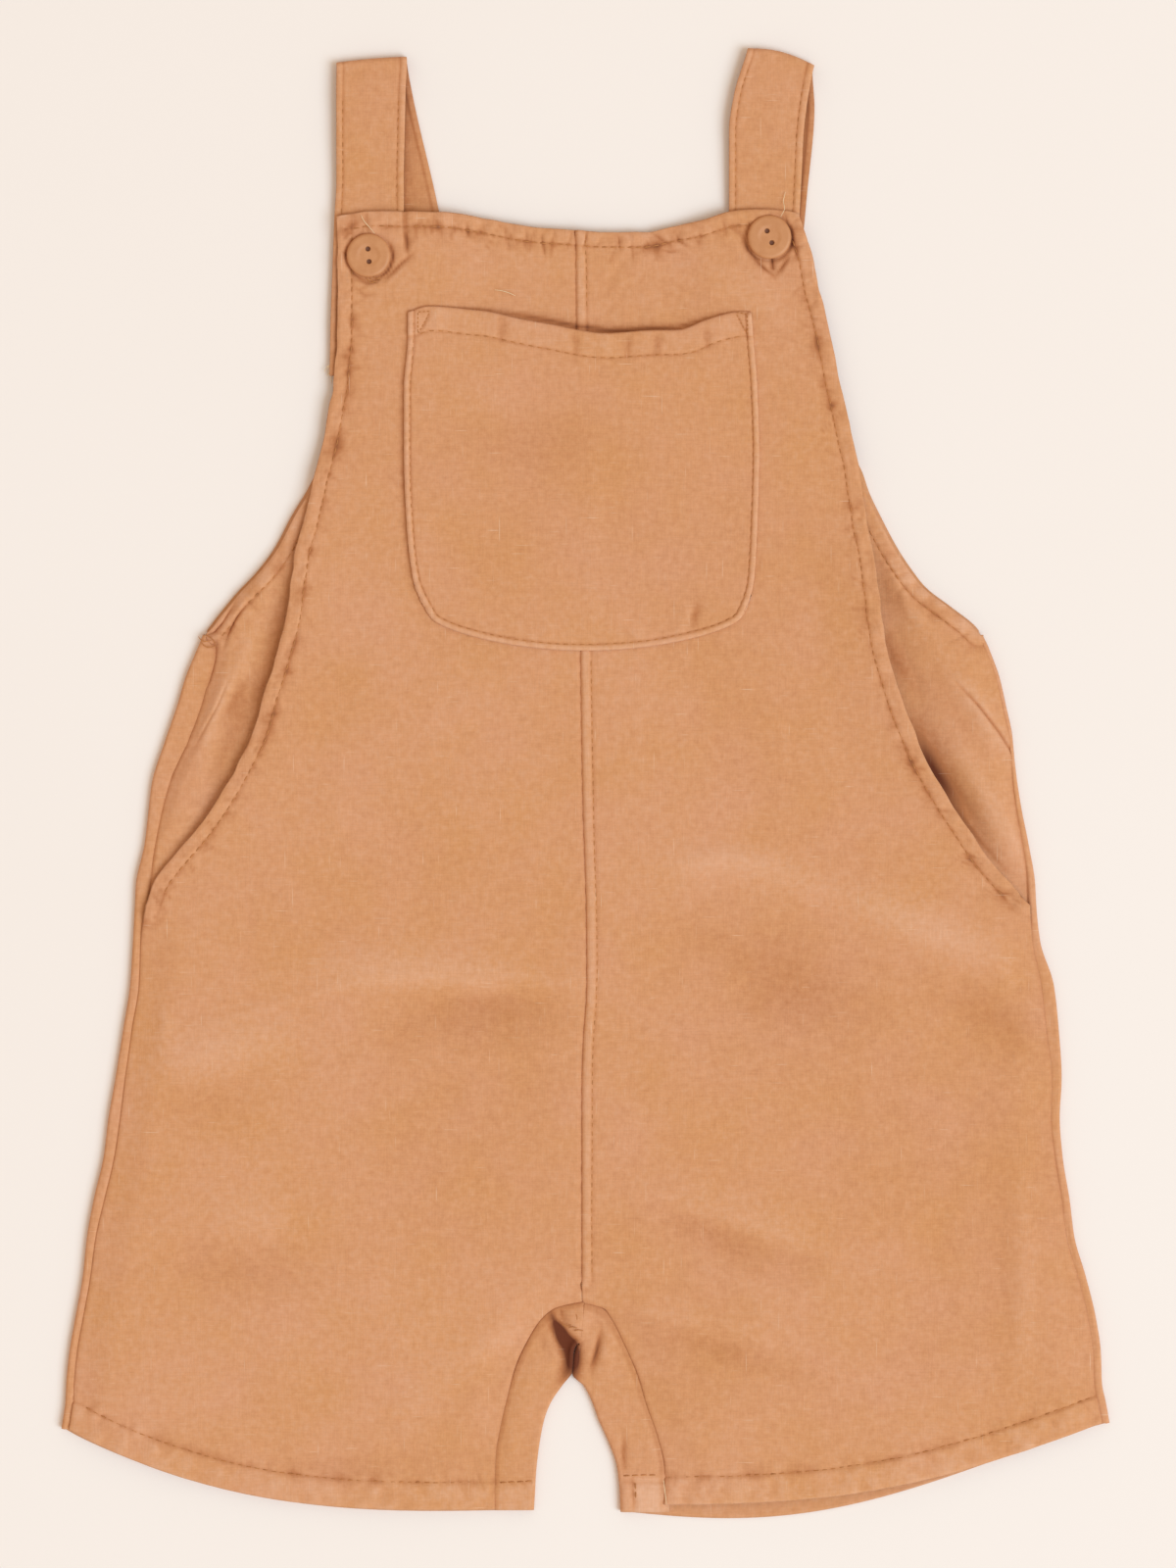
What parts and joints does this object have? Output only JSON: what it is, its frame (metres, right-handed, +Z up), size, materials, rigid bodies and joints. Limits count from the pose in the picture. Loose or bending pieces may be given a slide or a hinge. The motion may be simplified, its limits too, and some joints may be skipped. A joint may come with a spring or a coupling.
{
  "type": "child's bib overalls",
  "caption": "Short bib overalls for a toddler laid flat: buttoned shoulder straps, bib with a curved patch pocket, slanted side openings and turned leg hems.",
  "frame": {"origin": "centre of the laid garment's outline, on the surface it lies on", "axes": "+Z up off the surface, +Y from the leg hems towards the strap tops, +X to the picture's right (the wearer's left)"},
  "size_m": [0.3564, 0.4996, 0.0067],
  "materials": {
    "front_cloth": "garment-dyed woven linen blend, matte",
    "side_cloth": "garment-dyed woven linen blend, matte",
    "back_cloth": "garment-dyed woven linen blend, matte",
    "pocket_cloth": "garment-dyed woven linen blend, matte",
    "strap_cloth": "garment-dyed woven linen blend, matte",
    "button": "dyed to match, soft satin"
  },
  "bodies": {
    "root": {"front_left": "front_cloth", "front_right": "front_cloth", "side_left": "side_cloth", "side_right": "side_cloth", "back_left": "back_cloth", "back_right": "back_cloth", "bib_pocket": "pocket_cloth", "strap_left": "strap_cloth", "strap_right": "strap_cloth", "button_left": "button", "button_right": "button"}
  },
  "joints": []
}
